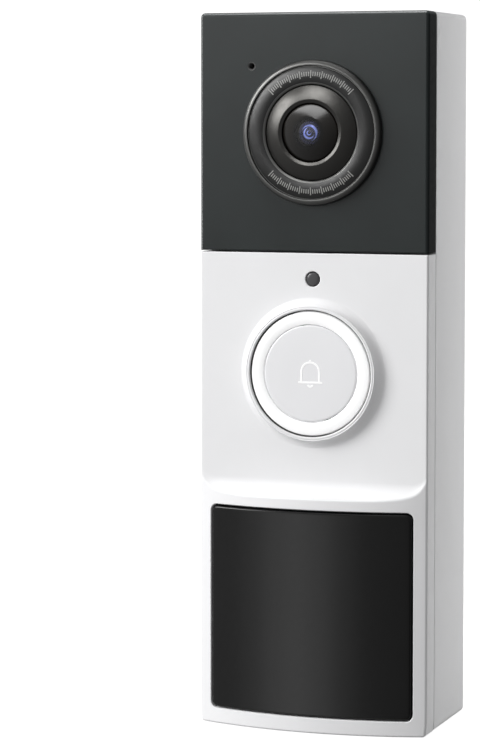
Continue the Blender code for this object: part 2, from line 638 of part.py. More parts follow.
def charging_port():
    """Receptacle on its board, and the hinged rubber cover in the back."""
    inner = rounded_rectangle((PORT_X, PORT_Z), 8.3, 2.5, 1.2)
    outer = rounded_rectangle((PORT_X, PORT_Z), 9.0, 3.2, 1.55)
    shell = outline_plate("usb_receptacle", outer, "XZ", -10.4, -3.0)
    cut(shell, outline_plate("usb_mouth", inner, "XZ", -9.0, 0.0))
    join(shell, box("usb_tongue", (PORT_X - 3.3, PORT_X + 3.3), (-9.6, -4.0), (PORT_Z - 0.35, PORT_Z + 0.35)))
    finish(shell, STEEL)
    plate = box("usb_board", (PORT_X - 6.0, PORT_X + 5.6), (-11.6, -3.2), (PORT_Z - 3.0, PORT_Z - 2.0))
    finish(plate, BOARD_GREEN)
    flap = box("port_cover", (PORT_X - 6.3, PORT_X + 6.3), (-1.8, -0.7), (-70.9, -61.5), bevel=0.25)
    plug = rounded_rectangle((PORT_X, PORT_Z), 8.6, 2.8, 1.35)
    join(flap, outline_plate("port_plug", plug, "XZ", -2.7, -1.3))
    grip = rounded_rectangle((PORT_X, -69.9), 6.0, 0.8, 0.35)
    cut(flap, outline_plate("finger_groove", grip, "XZ", -1.1, 0.0))
    finish(flap, RUBBER)
    carry(empty("port_axis", PORT_PIVOT), flap)


def sync_button():
    """Small set-up button in the back, with its switch and board."""
    x, z = SYNC
    profile = [(0.0, -0.9), (2.2, -0.9), (2.5, -1.1), (2.5, -2.9), (3.2, -2.9), (3.2, -3.6), (0.0, -3.6)]
    knob = finish(turned("sync_button", profile, (x, 0.0, z), ALONG_BACK, sides=32), RUBBER)
    carry(empty("sync_axis", (x, 0.0, z)), knob)
    finish(box("sync_switch", (x - 2.5, x + 2.5), (-6.2, -4.5), (z - 2.5, z + 2.5)), STEEL)
    board("sync_board", (x - 5.0, x + 5.0), (-7.4, -6.5), (z - 4.5, z + 4.5))


def hang_housing():
    """Parents everything that swings with the housing to an empty on the hooks' axis."""
    stays = ("wall_bracket", "latch_axis")
    swinging = [made for made in PARTS.objects if made.parent is None and made.name not in stays]
    carry(empty("swing_axis", SWING_PIVOT), *swinging)


wall_bracket()
release_latch()
rear_housing()
housing_gasket()
housing_screws()
front_cover()
camera_panel()
camera()
microphone()
push_button()
button_electronics()
motion_sensor()
main_electronics()
battery()
speaker()
charging_port()
sync_button()
hang_housing()
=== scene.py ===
"""Looks of the video doorbell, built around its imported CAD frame.

Lengths are in millimetres in the code and become metres where a mesh is made.
X is to the viewer's right, Z is up and the front faces -Y. The wall plane is Y = 0.
"""
import json
import math

import bmesh
import bpy
from mathutils import Matrix, Vector


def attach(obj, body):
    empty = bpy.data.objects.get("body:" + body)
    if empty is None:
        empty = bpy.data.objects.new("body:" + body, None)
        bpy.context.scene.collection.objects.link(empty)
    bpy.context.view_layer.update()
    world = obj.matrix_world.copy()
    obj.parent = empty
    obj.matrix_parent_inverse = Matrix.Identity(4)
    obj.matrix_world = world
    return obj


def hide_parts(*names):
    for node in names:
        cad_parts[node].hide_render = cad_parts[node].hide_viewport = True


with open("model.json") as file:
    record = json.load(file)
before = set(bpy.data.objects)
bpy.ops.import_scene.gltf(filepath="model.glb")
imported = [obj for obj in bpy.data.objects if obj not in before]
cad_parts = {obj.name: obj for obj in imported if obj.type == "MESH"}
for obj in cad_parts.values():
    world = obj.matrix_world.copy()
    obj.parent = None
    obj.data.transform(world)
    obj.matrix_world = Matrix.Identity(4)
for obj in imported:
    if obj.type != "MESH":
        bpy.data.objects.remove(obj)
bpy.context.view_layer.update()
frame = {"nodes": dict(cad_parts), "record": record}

MM = 0.001

# The object's driving dimensions, the same as the CAD model's
HALF = 25.0
TOP = 75.0
FRONT = -30.0
SEAM = -24.6
GAP = 0.3
WALL = 1.8
CORNER = 1.0
PANEL_LOW = 25.3
COVER_HIGH = 25.0
COVER_INNER = -28.0
BULGE_RADIUS = 75.0
BULGE_AXIS = FRONT + math.sqrt(BULGE_RADIUS**2 - HALF**2)
LENS = (0.0, FRONT, 50.0)
BUTTON = (0.0, FRONT, 0.0)
STATUS = (0.0, FRONT, 19.6)
MIC = (-13.5, 63.8)
SENSOR_Z = -50.0
WINDOW = (43.8, 42.8)
WINDOW_CORNER = 1.1
LEDGE = -22.4
COVE = 3.4
POCKET_CORNER = 4.0
POCKET_CENTRE_X = 21.5
HOUSING_BACK = -0.5
FINE = 160  # sides of a large turned piece

# Places of hooks, screws, slots and openings
HOOK_X = 12.0
POST_X = 19.4
PORT = (-13.0, -66.7)
SYNC = (13.0, 0.0, -66.5)
BRACKET_SLOTS = {"upper": (48.0, 4.4, 10.0), "lower": (-40.0, 10.0, 4.4)}
BOARD_SCREWS = {"top": (0.0, 67.0), "left": (-13.6, -9.5), "right": (13.6, -9.5)}
CAMERA_SCREWS = {"upper": (13.0, 62.0), "lower": (-13.0, 38.0)}
POST_LEVELS = {"top": 69.0, "middle": 19.5, "bottom": -53.0}

# The photograph's camera: degrees and millimetres
CAMERA_TURN = 20.138
CAMERA_LIFT = 3.667
CAMERA_PLACE = (187.847, -586.090, 52.853)
CAMERA_LENS = 137.34
CAMERA_SHIFT_UP = -0.095

WHITE = (1.0, 1.0, 1.0, 1.0)


# Mesh building ---------------------------------------------------------------------------------


def mesh_from(name, points, faces):
    """An object from points in millimetres, with its faces turned outwards."""
    mesh = bpy.data.meshes.new(name)
    mesh.from_pydata([Vector(point) * MM for point in points], [], faces)
    bm = bmesh.new()
    bm.from_mesh(mesh)
    bmesh.ops.recalc_face_normals(bm, faces=bm.faces)
    bm.to_mesh(mesh)
    bm.free()
    made = bpy.data.objects.new(name, mesh)
    bpy.context.scene.collection.objects.link(made)
    return made


def loft(name, loops):
    """Quads between loops of equal length, with the first and last loop capped."""
    count = len(loops[0])
    points = [point for loop in loops for point in loop]
    faces = []
    for level in range(len(loops) - 1):
        for index in range(count):
            after = (index + 1) % count
            low, high = level * count, (level + 1) * count
            faces.append((low + index, low + after, high + after, high + index))
    faces.append(tuple(range(count)))
    faces.append(tuple(range(len(points) - count, len(points))))
    return mesh_from(name, points, faces)


TURNS = {
    "front": lambda r, s, c, h: (r * c, -h, r * s),
    "back": lambda r, s, c, h: (r * c, h, r * s),
    "up": lambda r, s, c, h: (r * c, r * s, h),
}


def turned(name, profile, centre, facing="front", sides=FINE):
    """A closed profile of (radius, height) points, spun about an axis. A radius of 0 makes a pole."""
    place = TURNS[facing]
    rings = []
    points = []
    for radius, height in profile:
        start = len(points)
        steps = sides if radius > 0.0 else 1
        for step in range(steps):
            angle = 2.0 * math.pi * step / sides
            local = place(radius, math.sin(angle), math.cos(angle), height)
            points.append([a + b for a, b in zip(local, centre)])
        rings.append((start, steps))
    pairs = list(zip(rings, rings[1:]))
    if profile[0][0] > 0.0:
        pairs.append((rings[-1], rings[0]))
    faces = []
    for (low, low_steps), (high, high_steps) in pairs:
        for step in range(sides):
            after = (step + 1) % sides
            corners = [low + step % low_steps, low + after % low_steps]
            corners += [high + after % high_steps, high + step % high_steps]
            faces.append(tuple(dict.fromkeys(corners)))
    return mesh_from(name, points, faces)


def cylinder(name, centre, radius, length, facing="back", sides=32):
    """A round cutter or post that starts at a point."""
    profile = [(0.0, 0.0), (radius, 0.0), (radius, length), (0.0, length)]
    return turned(name, profile, centre, facing, sides)


def arc(centre, radius, start, end, steps):
    """Points on an arc, with its angles in degrees."""
    points = []
    for step in range(steps + 1):
        angle = math.radians(start + (end - start) * step / steps)
        points.append((centre[0] + radius * math.cos(angle), centre[1] + radius * math.sin(angle)))
    return points


def rounded(centre, width, height, radius, steps=12):
    """Outline of a rectangle with round corners, anticlockwise."""
    points = []
    for sx, sy, start in ((1, 1, 0), (-1, 1, 90), (-1, -1, 180), (1, -1, 270)):
        corner = (centre[0] + sx * (width / 2 - radius), centre[1] + sy * (height / 2 - radius))
        points += arc(corner, radius, start, start + 90, steps)
    return points


PLANES = {
    "XZ": lambda u, v, w: (u, w, v),
    "XY": lambda u, v, w: (u, v, w),
    "YZ": lambda u, v, w: (w, u, v),
}


def prism(name, points, plane, low, high):
    """A flat outline carried from low to high along its plane's normal."""
    place = PLANES[plane]
    return loft(name, [[place(u, v, level) for u, v in points] for level in (low, high)])


def block(name, x, y, z):
    """A plain cutter or rib between (low, high) pairs."""
    outline = [(x[0], z[0]), (x[1], z[0]), (x[1], z[1]), (x[0], z[1])]
    return prism(name, outline, "XZ", *y)


def eased_block(name, x, y, z, corner, ease):
    """A block with round corners seen from the front, and rounded rims at front and back."""
    (u0, u1), (v0, v1), (w0, w1) = x, z, y
    centre = ((u0 + u1) / 2, (v0 + v1) / 2)
    loops = []
    steps = 5
    rims = [(w0, 1.0, range(steps, -1, -1)), (w1, -1.0, range(steps + 1))]
    for level, way, order in rims:
        for step in order:
            angle = math.pi / 2 * step / steps
            inset = ease * (1 - math.cos(angle))
            height = level + way * ease * (1 - math.sin(angle))
            radius = max(corner - inset, 0.05)
            outline = rounded(centre, u1 - u0 - 2 * inset, v1 - v0 - 2 * inset, radius, 8)
            loops.append([(u, height, v) for u, v in outline])
    return loft(name, loops)


def carve(target, tool, operation="DIFFERENCE"):
    """Queues one exact Boolean step; its tool is removed when the target is settled."""
    step = target.modifiers.new(tool.name, "BOOLEAN")
    step.operation = operation
    step.solver = "EXACT"
    step.object = tool


def settle(target):
    """Turns the queued steps into plain mesh and removes their tools."""
    tools = [step.object for step in target.modifiers if step.type == "BOOLEAN"]
    bpy.context.view_layer.update()
    evaluated = target.evaluated_get(bpy.context.evaluated_depsgraph_get())
    mesh = bpy.data.meshes.new_from_object(evaluated)
    target.modifiers.clear()
    bm = bmesh.new()
    bm.from_mesh(mesh)
    bmesh.ops.dissolve_degenerate(bm, dist=1e-7, edges=bm.edges)
    bm.to_mesh(mesh)
    bm.free()
    mesh.validate()
    target.data = mesh
    for tool in tools:
        bpy.data.objects.remove(tool, do_unlink=True)
    return target


def ease_edges(target, width):
    """Queues a small rounding of every hard edge."""
    step = target.modifiers.new("eased_edges", "BEVEL")
    step.width = width * MM
    step.segments = 2
    step.limit_method = "ANGLE"
    step.angle_limit = math.radians(40.0)


def piece(made, body, look, nodes=(), angle=30.0, even=False):
    """Gives a piece its finish, its shading, its body and the CAD nodes that it stands for."""
    made.data.materials.clear()
    made.data.materials.append(look)
    made.data.shade_smooth()
    made.data.set_sharp_from_angle(angle=math.radians(angle))
    if even:
        weigh = made.modifiers.new("even_normals", "WEIGHTED_NORMAL")
        weigh.keep_sharp = True
        weigh.weight = 100
    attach(made, body)
    if nodes:
        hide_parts(*nodes)
    return made


def carved_piece(made, body, look, node):
    """Settles a carved piece, with shading that keeps its flat faces flat."""
    piece(settle(made), body, LOOKS[look], [node], 32.0, True)


# Materials -------------------------------------------------------------------------------------


def shade(colour, factor):
    """A colour made lighter or darker."""
    return tuple(min(1.0, channel * factor) for channel in colour) + (1.0,)


def feed(tree, socket, value):
    """Gives an input a plain value, or links another node's output to it."""
    if isinstance(value, bpy.types.NodeSocket):
        tree.links.new(value, socket)
    else:
        socket.default_value = value


def add_node(tree, kind, inputs=None, **settings):
    """A shader node with its settings, then its inputs."""
    made = tree.nodes.new("ShaderNode" + kind)
    for name, value in settings.items():
        setattr(made, name, value)
    for name, value in (inputs or {}).items():
        feed(tree, made.inputs[name], value)
    return made


def on_object(tree):
    """Coordinates fixed to the object."""
    return add_node(tree, "TexCoord").outputs["Object"]


def noise(tree, scale, detail=3.0):
    """A noise texture fixed to the object."""
    inputs = {"Scale": scale, "Detail": detail, "Vector": on_object(tree)}
    return add_node(tree, "TexNoise", inputs).outputs["Fac"]


def ranged(tree, value, low, high, start=0.0, end=1.0, **settings):
    """Carries a value that runs from start to end onto low to high."""
    inputs = {"Value": value, "From Min": start, "From Max": end, "To Min": low, "To Max": high}
    return add_node(tree, "MapRange", inputs, **settings).outputs["Result"]


def spread(tree, value, low, high):
    """Carries a noise value, which stays near its middle, onto a range."""
    return ranged(tree, value, low, high, 0.3, 0.7)


def vector_math(tree, operation, *values, output="Vector"):
    """One step of vector arithmetic on plain values or outputs."""
    made = add_node(tree, "VectorMath", dict(enumerate(values)), operation=operation)
    return made.outputs[output]


def blend_colours(tree, factor, first, second):
    """Mixes two colours, each a plain colour or another node's output."""
    made = add_node(tree, "Mix", {"Factor": factor}, data_type="RGBA")
    colours = [socket for socket in made.inputs if socket.type == "RGBA"]
    for socket, value in zip(colours, (first, second)):
        feed(tree, socket, value)
    return [socket for socket in made.outputs if socket.type == "RGBA"][0]


def relief(tree, height, depth):
    """A bump of the given depth in millimetres."""
    inputs = {"Strength": 1.0, "Distance": depth * MM, "Height": height}
    return add_node(tree, "Bump", inputs).outputs["Normal"]


def refine(material, **inputs):
    """Sets further inputs of a finish, by name with underscores."""
    shader = material.node_tree.nodes["Principled BSDF"]
    for name, value in inputs.items():
        feed(material.node_tree, shader.inputs[name.replace("_", " ")], value)
    return material


def finish(name, colour, rough, grain=7000.0, depth=0.004, metallic=0.0, mottle=0.03, **extra):
    """A moulded, painted or machined finish: mottled colour, uneven gloss and a fine grain."""
    made = bpy.data.materials.new(name)
    made.use_nodes = True
    tree = made.node_tree
    patches = spread(tree, noise(tree, 90.0), 0.0, 1.0)
    paint = blend_colours(tree, patches, shade(colour, 1 - mottle), shade(colour, 1 + mottle))
    gloss = spread(tree, noise(tree, 900.0, 5.0), rough * 0.88, rough * 1.12)
    refine(made, Metallic=metallic, Base_Color=paint, Roughness=gloss, **extra)
    if depth:
        refine(made, Normal=relief(tree, noise(tree, grain, 2.0), depth))
    return made


def circuit_board(name):
    """Green solder mask with paler copper tracks under it."""
    made = finish(name, (0.012, 0.12, 0.05), 0.35, grain=2500.0, depth=0.01)
    tree = made.node_tree
    across_board = {"Vector": on_object(tree), "Rotation": (math.pi / 2, 0.0, 0.0)}
    tracks = {
        "Vector": add_node(tree, "Mapping", across_board).outputs["Vector"],
        "Scale": 260.0,
        "Mortar Size": 0.06,
        "Color1": (0.010, 0.11, 0.045, 1.0),
        "Color2": (0.014, 0.14, 0.06, 1.0),
        "Mortar": (0.05, 0.24, 0.10, 1.0),
    }
    return refine(made, Base_Color=add_node(tree, "TexBrick", tracks).outputs["Color"])


LOOKS = {
    "white_plastic": finish("white_plastic", (0.84, 0.84, 0.85), 0.42, 6000.0, 0.003, mottle=0.01),
    "panel": finish(
        "panel_black", (0.008, 0.0105, 0.0105), 0.36, 5000.0, 0.003, mottle=0.12, Specular_IOR_Level=0.25
    ),
    "window": finish(
        "window_black", (0.003, 0.003, 0.003), 0.22, 3000.0, 0.0005, mottle=0.10, Specular_IOR_Level=0.25
    ),
    "status": finish("status_black", (0.06, 0.06, 0.063), 0.25, 3000.0, 0.001),
    "dark_ring": finish(
        "dark_ring", (0.024, 0.024, 0.024), 0.34, 7000.0, 0.004, 0.85, Specular_IOR_Level=0.25
    ),
    "grey_metal": finish("grey_metal", (0.046, 0.045, 0.043), 0.33, 7000.0, 0.004, 1.0),
    "lip": finish("lip", (0.10, 0.10, 0.10), 0.3, 7000.0, 0.002),
    "tick_paint": finish("tick_paint", (0.30, 0.30, 0.29), 0.5, 7000.0, 0.004),
    "inner_plastic": finish("inner_plastic", (0.02, 0.02, 0.02), 0.5),
    "bracket_plastic": finish("bracket_plastic", (0.045, 0.045, 0.047), 0.5, 3500.0, 0.012, mottle=0.08),
    "steel": finish("steel", (0.58, 0.59, 0.60), 0.26, 5000.0, 0.004, 1.0, 0.06),
    "cap_plastic": finish("cap_plastic", (0.835, 0.835, 0.85), 0.40, 6000.0, 0.003, mottle=0.01),
    # The light guide's emission is a painted glow that brightens the ring; it is no lamp.
    "light_guide": finish(
        "light_guide", (0.93, 0.93, 0.935), 0.16, 3000.0, 0.001, mottle=0.01,
        Emission_Color=WHITE, Emission_Strength=0.16,
    ),
    # The sign paint's emission is a painted glow that brightens the bell sign; it is no lamp.
    "sign_paint": finish(
        "sign_paint", (0.97, 0.97, 0.97), 0.3, 5000.0, 0.002, mottle=0.01,
        Emission_Color=WHITE, Emission_Strength=0.14,
    ),
    "rubber": finish("rubber", (0.03, 0.03, 0.03), 0.7, 4000.0, 0.012, mottle=0.15),
    "silicone": finish("silicone", (0.66, 0.66, 0.64), 0.55, 4000.0, 0.008),
    "circuit_board": circuit_board("circuit_board"),
    "chip": finish("chip", (0.025, 0.025, 0.028), 0.42, 5000.0, 0.008, mottle=0.1),
    "battery_wrap": finish("battery_wrap", (0.06, 0.14, 0.30), 0.28, 1500.0, 0.01, mottle=0.1),
    "foam": finish("foam", (0.05, 0.05, 0.05), 0.9, 1800.0, 0.12, mottle=0.2),
    "lens_barrel": finish("lens_barrel", (0.008, 0.008, 0.009), 0.4),
}


def lens_radius(tree, edge, softness, aside=0.0):
    """1 within a radius of the lens axis, in millimetres, fading to 0 over the softness outside it.

    A disc set aside moves that far to the right and that far up.
    """
    middle = (Vector(LENS) + Vector((aside, 0.0, aside))) * MM
    offset = vector_math(tree, "SUBTRACT", on_object(tree), middle)
    flat = vector_math(tree, "MULTIPLY", offset, (1.0, 0.0, 1.0))
    length = vector_math(tree, "LENGTH", flat, output="Value")
    limits = (edge * MM, (edge + softness) * MM)
    return ranged(tree, length, 1.0, 0.0, *limits, interpolation_type="SMOOTHSTEP")


def clear_dome():
    """Dome that is clear over the pupil and smoked black round it."""
    made = finish("clear_dome", (0.006, 0.005, 0.004), 0.16, 2500.0, 0.0, mottle=0.02)
    tree = made.node_tree
    smoke, glass = (0.006, 0.005, 0.004, 1.0), (0.95, 0.95, 0.97, 1.0)
    clear = lens_radius(tree, 3.0, 0.8)
    tint = blend_colours(tree, lens_radius(tree, 2.3, 0.6), smoke, glass)
    gloss = ranged(tree, clear, 0.24, 0.03)
    refine(made, IOR=1.5, Specular_IOR_Level=0.4)
    return refine(made, Transmission_Weight=clear, Base_Color=tint, Roughness=gloss)


def coated_lens_painted_crescents():
    """Front element: black rim and a blue-tinted middle, with offset blue and navy discs that paint the
    coatings' reflections as crescents round the pupil.
    """
    made = finish("coated_lens_painted_crescents", (0.01, 0.012, 0.02), 0.12, 2500.0, 0.0)
    tree = made.node_tree
    rim, blue, navy = (0.004, 0.004, 0.005, 1.0), (0.30, 0.38, 1.0, 1.0), (0.006, 0.008, 0.035, 1.0)
    colour = blend_colours(tree, lens_radius(tree, 2.15, 0.15), rim, (0.02, 0.025, 0.12, 1.0))
    # Offset discs of blue and navy: painted reflections that form crescents round the pupil.
    painted_crescents = ((1.9, 0.0, navy), (1.6, 0.0, blue), (1.45, -0.22, navy))
    painted_crescents += ((1.1, -0.12, blue), (0.95, 0.08, navy), (0.42, -0.05, blue), (0.3, 0.05, navy))
    for edge, aside, tint in painted_crescents:
        colour = blend_colours(tree, lens_radius(tree, edge, 0.1, aside), colour, tint)
    return refine(made, Base_Color=colour, Metallic=0.5, Coat_Weight=1.0)


def cut_ring():
    """Anodised bezel whose inner edge and shoulder are cut bright."""
    made = finish("cut_ring", (0.024, 0.024, 0.024), 0.34, 7000.0, 0.004, 0.9)
    tree = made.node_tree
    flat = (0.028, 0.028, 0.028, 1.0)
    band = blend_colours(tree, lens_radius(tree, 13.62, 0.04), (0.075, 0.075, 0.073, 1.0), flat)
    both = blend_colours(tree, lens_radius(tree, 10.42, 0.04), band, (0.22, 0.22, 0.215, 1.0))
    return refine(made, Base_Color=both)


LOOKS["bezel"] = cut_ring()
LOOKS["dome"] = clear_dome()
LOOKS["element"] = coated_lens_painted_crescents()


def dress_cad_nodes():
    """Every CAD node gets the procedural finish of its slot in the record."""
    for entry in frame["record"]["subparts"]:
        node = frame["nodes"][entry["node"]]
        look = LOOKS.get(entry["material_slot"], LOOKS["inner_plastic"])
        node.data.materials.clear()
        node.data.materials.append(look)


# Covers ----------------------------------------------------------------------------------------


def fall(distance, radius):
    """How far a rounded edge drops at a distance in from the edge."""
    if distance >= radius:
        return 0.0
    return radius - math.sqrt(max(0.0, radius**2 - (radius - distance) ** 2))


def edge_steps(radius, steps=6):
    """Distances from an edge that follow its rounding evenly."""
    return [radius * (1 - math.cos(math.pi / 2 * step / steps)) for step in range(steps + 1)]


class Shell:
    """A slab with a shaped front, rounded edges and round corners, made as one closed grid."""

    def __init__(self, half, low, high, corners, rounds):
        self.half = half
        self.low = low
        self.high = high
        self.corner_low, self.corner_high = corners
        self.side_round, self.low_round, self.high_round = rounds

    def half_at(self, z):
        """Half width at a height, less in the round corners."""
        corners = ((self.corner_low, z - self.low), (self.corner_high, self.high - z))
        for radius, distance in corners:
            if distance < radius:
                return self.half - fall(distance, radius)
        return self.half

    def drop(self, x, z):
        """Depth of the rounded edges below the front."""
        aside = self.half - abs(x)
        down = z - self.low
        up = self.high - z
        for radius, distance in ((self.corner_low, down), (self.corner_high, up)):
            if aside < radius and distance < radius:
                inside = radius - math.hypot(radius - aside, radius - distance)
                return fall(inside, self.side_round)
        return max(fall(aside, self.side_round), fall(down, self.low_round), fall(up, self.high_round))

    def columns(self, steps):
        """Fractions of the half width, close together at the rounded sides."""
        near = [1.0 - distance / self.half for distance in edge_steps(self.side_round)]
        inner = near[-1]
        middle = [inner * (1 - 2 * step / steps) for step in range(1, steps)]
        return near + middle + [-value for value in near[::-1]]

    def build(self, name, columns, rows_at, front, back):
        """The closed mesh: front grid, side walls down to the back, and the back grid."""
        across = self.columns(columns)
        fronts, backs = [], []
        for fraction in across:
            for z in rows_at(fraction * self.half):
                x = fraction * self.half_at(z)
                fronts.append((x, front(x, z) + self.drop(x, z), z))
                backs.append((x, back(x, z), z))
        count = len(rows_at(0.0))
        total = len(fronts)
        faces = []
        for column in range(len(across) - 1):
            for row in range(count - 1):
                first = column * count + row
                quad = (first, first + 1, first + count + 1, first + count)
                faces.append(quad)
                faces.append(tuple(index + total for index in quad))
        rim = [column * count for column in range(len(across))]
        rim += [total - count + row for row in range(1, count)]
        rim += [column * count + count - 1 for column in range(len(across) - 2, -1, -1)]
        rim += [row for row in range(count - 2, 0, -1)]
        for index, here in enumerate(rim):
            after = rim[(index + 1) % len(rim)]
            faces.append((here, after, after + total, here + total))
        return mesh_from(name, fronts + backs, faces)


def rows_between(low, high, near_low, near_high, steps):
    """Heights from low to high: given distances from each end, and even steps between them."""
    first = [low + distance for distance in near_low]
    last = [high - distance for distance in near_high[::-1]]
    gap = last[0] - first[-1]
    return first + [first[-1] + gap * step / steps for step in range(1, steps)] + last


def bulge(x):
    """How far the lower third stands out in front of the flat face."""
    return max(0.0, FRONT - BULGE_AXIS + math.sqrt(BULGE_RADIUS**2 - x**2))


def pocket_height(x, distance):
    """Height of the point that lies a distance below the flat face's lower outline."""
    beyond = abs(x) - POCKET_CENTRE_X
    if beyond <= 0.0:
        return LEDGE - distance
    reach = POCKET_CORNER + distance
    return LEDGE + POCKET_CORNER - math.sqrt(reach**2 - beyond**2)


def cove_profile(x, steps=10, turn=5, ease=0.45):
    """(distance, height) points from the flat face up the cove and over its soft outer edge."""
    rise = bulge(x)
    arc_rise = min(rise, COVE)
    sweep = math.acos(1.0 - arc_rise / COVE)
    reach = COVE * math.sin(sweep)
    length = COVE * sweep + (rise - arc_rise)
    back_off = min(ease, 0.4 * length)
    points = []
    for step in range(steps + 1):
        travelled = (length - back_off) * step / steps
        angle = min(travelled / COVE, sweep)
        extra = max(0.0, travelled - COVE * sweep)
        points.append((COVE * math.sin(angle), COVE * (1 - math.cos(angle)) + extra))
    start = points[-1]
    for step in range(1, turn + 1):
        t = step / turn
        weights = ((1 - t) ** 2, 2 * t * (1 - t), t**2)
        ends = (start, (reach, rise), (reach + back_off, rise))
        points.append(tuple(sum(w * end[axis] for w, end in zip(weights, ends)) for axis in (0, 1)))
    return points


COVER = Shell(HALF, -TOP, COVER_HIGH, (CORNER, 0.0), (0.45, 0.45, 0.25))


def cover_rows(x):
    """Heights of the front cover's rows in one column, from the bottom, with the cove's own rows."""
    margin, least_step = 0.02, 0.004
    x = max(-HALF + margin, min(HALF - margin, x))
    profile = cove_profile(x)
    cove = []
    for distance, _ in profile:
        height = pocket_height(x, distance)
        cove.append(height if not cove else min(height, cove[-1] - least_step))
    low = [-TOP + distance for distance in edge_steps(COVER.low_round)]
    start, end = low[-1], cove[-1]
    body = 24
    middle = [start + (end - start) * step / body for step in range(1, body)]
    high = [COVER_HIGH - distance for distance in edge_steps(COVER.high_round)][::-1]
    flat = 6
    face = [cove[0] + (high[0] - cove[0]) * step / flat for step in range(1, flat)]
    return low + middle + cove[::-1] + face + high


def cove_distance(x, z):
    """Distance of a point below the flat face's lower outline."""
    beyond = abs(x) - POCKET_CENTRE_X
    if beyond <= 0.0 or z > LEDGE + POCKET_CORNER:
        return LEDGE - z
    return math.hypot(beyond, z - LEDGE - POCKET_CORNER) - POCKET_CORNER


def cover_front(x, z):
    """Y of the front cover's surface before its edges are rounded."""
    distance = cove_distance(x, z)
    if distance <= 1e-4:
        return FRONT
    points = cove_profile(x)
    for (d0, h0), (d1, h1) in zip(points, points[1:]):
        if distance <= d1 + 1e-4 and d1 - d0 > 1e-7:
            share = max(0.0, min(1.0, (distance - d0) / (d1 - d0)))
            return FRONT - (h0 + (h1 - h0) * share)
    return FRONT - bulge(x)


def surround():
    """Raised rim round the button with a broad concave flank."""
    profile = [(0.0, 1.9), (13.6, 1.9), (13.72, 1.87), (13.8, 1.78)]
    profile += arc((16.25, 2.25), 2.3, 190, 268, 14)
    profile += [(16.3, -0.8), (0.0, -0.8)]
    return turned("surround", profile, BUTTON)


def opening_outline(outset):
    """The motion sensor's outline, grown by a distance."""
    width, height = WINDOW[0] + 2 * outset, WINDOW[1] + 2 * outset
    return thicken(rounded((0.0, SENSOR_Z), width, height, WINDOW_CORNER + outset, 16))


def window_cutter():
    """Cutter for the sensor's opening, with a lead-in that follows the bulge.

    Each step is an outset from the window and a depth below the bulge's surface.
    """
    steps = [(1.6, -1.3), (0.62, -0.08), (0.42, 0.10), (GAP, 0.45)]
    outlines = [opening_outline(outset) for outset, _ in steps]
    loops = [[(x, -38.0, z) for x, z in outlines[0]]]
    for outline, (_, level) in zip(outlines, steps):
        loops.append([(x, FRONT - bulge(x) + level, z) for x, z in outline])
    loops.append([(x, -26.5, z) for x, z in outlines[-1]])
    return loft("window_cutter", loops)


def thicken(outline, longest=1.2):
    """Adds points to an outline's long sides, so that it can follow a curved surface."""
    points = []
    for index, (x0, z0) in enumerate(outline):
        x1, z1 = outline[(index + 1) % len(outline)]
        length = math.hypot(x1 - x0, z1 - z0)
        parts = max(1, math.ceil(length / longest)) if abs(x1 - x0) > 0.5 * length else 1
        for part in range(parts):
            points.append((x0 + (x1 - x0) * part / parts, z0 + (z1 - z0) * part / parts))
    return points


def bulge_section(radius, half, base, steps=40):
    """Plan of the bulge's hollow: an arc closed by a straight base."""
    swing = math.degrees(math.asin(half / radius))
    front = arc((0.0, BULGE_AXIS), radius, 270 - swing, 270 + swing, steps)
    return front + [(half, base), (-half, base)]


def add_post(cover, name, x, z, front, back=-6.0, radius=2.1, bore=1.25, depth=14.0):
    """A screw post behind a cover."""
    post = cylinder(f"{name}_post", (x, front, z), radius, back - front)
    carve(cover, post, "UNION")
    carve(cover, cylinder(f"{name}_bore", (x, back - depth, z), bore, depth + 1.0, sides=24))


def front_cover():
    """White cover over the lower two thirds."""
    cover = COVER.build("white_front_cover", 56, cover_rows, cover_front, lambda x, z: SEAM)
    carve(cover, surround(), "UNION")
    inner = HALF - WALL
    tall = (-TOP + WALL, COVER_HIGH - WALL)
    carve(cover, block("hollow", (-inner, inner), (COVER_INNER, SEAM + 1.0), tall))
    section = bulge_section(BULGE_RADIUS - 2.0, HALF - 2.5, FRONT + 2.5)
    carve(cover, prism("bulge_hollow", section, "XY", -TOP + WALL + 0.2, LEDGE - COVE - 1.8))
    hole = [(0.0, 2.6), (13.9, 2.6), (13.45, 1.9), (13.3, 1.8), (13.25, 1.65), (13.25, -4.0)]
    hole += [(0.0, -4.0)]
    carve(cover, turned("button_hole", hole, BUTTON))
    dot = [(0.0, 1.0), (2.6, 1.0), (1.75, 0.0), (1.62, -0.1), (1.6, -0.25), (1.6, -4.0)]
    dot += [(0.0, -4.0)]
    carve(cover, turned("status_hole", dot, STATUS, sides=64))
    carve(cover, window_cutter())
    for side, x in (("left", -POST_X), ("right", POST_X)):
        reach = sorted((x, x + math.copysign(4.4, x)))
        carve(cover, block(f"gusset_{side}", reach, (-27.5, -25.3), (-55.0, -51.0)), "UNION")
        add_post(cover, f"middle_{side}", x, POST_LEVELS["middle"], COVER_INNER - 0.6)
        add_post(cover, f"bottom_{side}", x, POST_LEVELS["bottom"], -27.5)
    carved_piece(cover, "housing", "white_plastic", "front_cover")


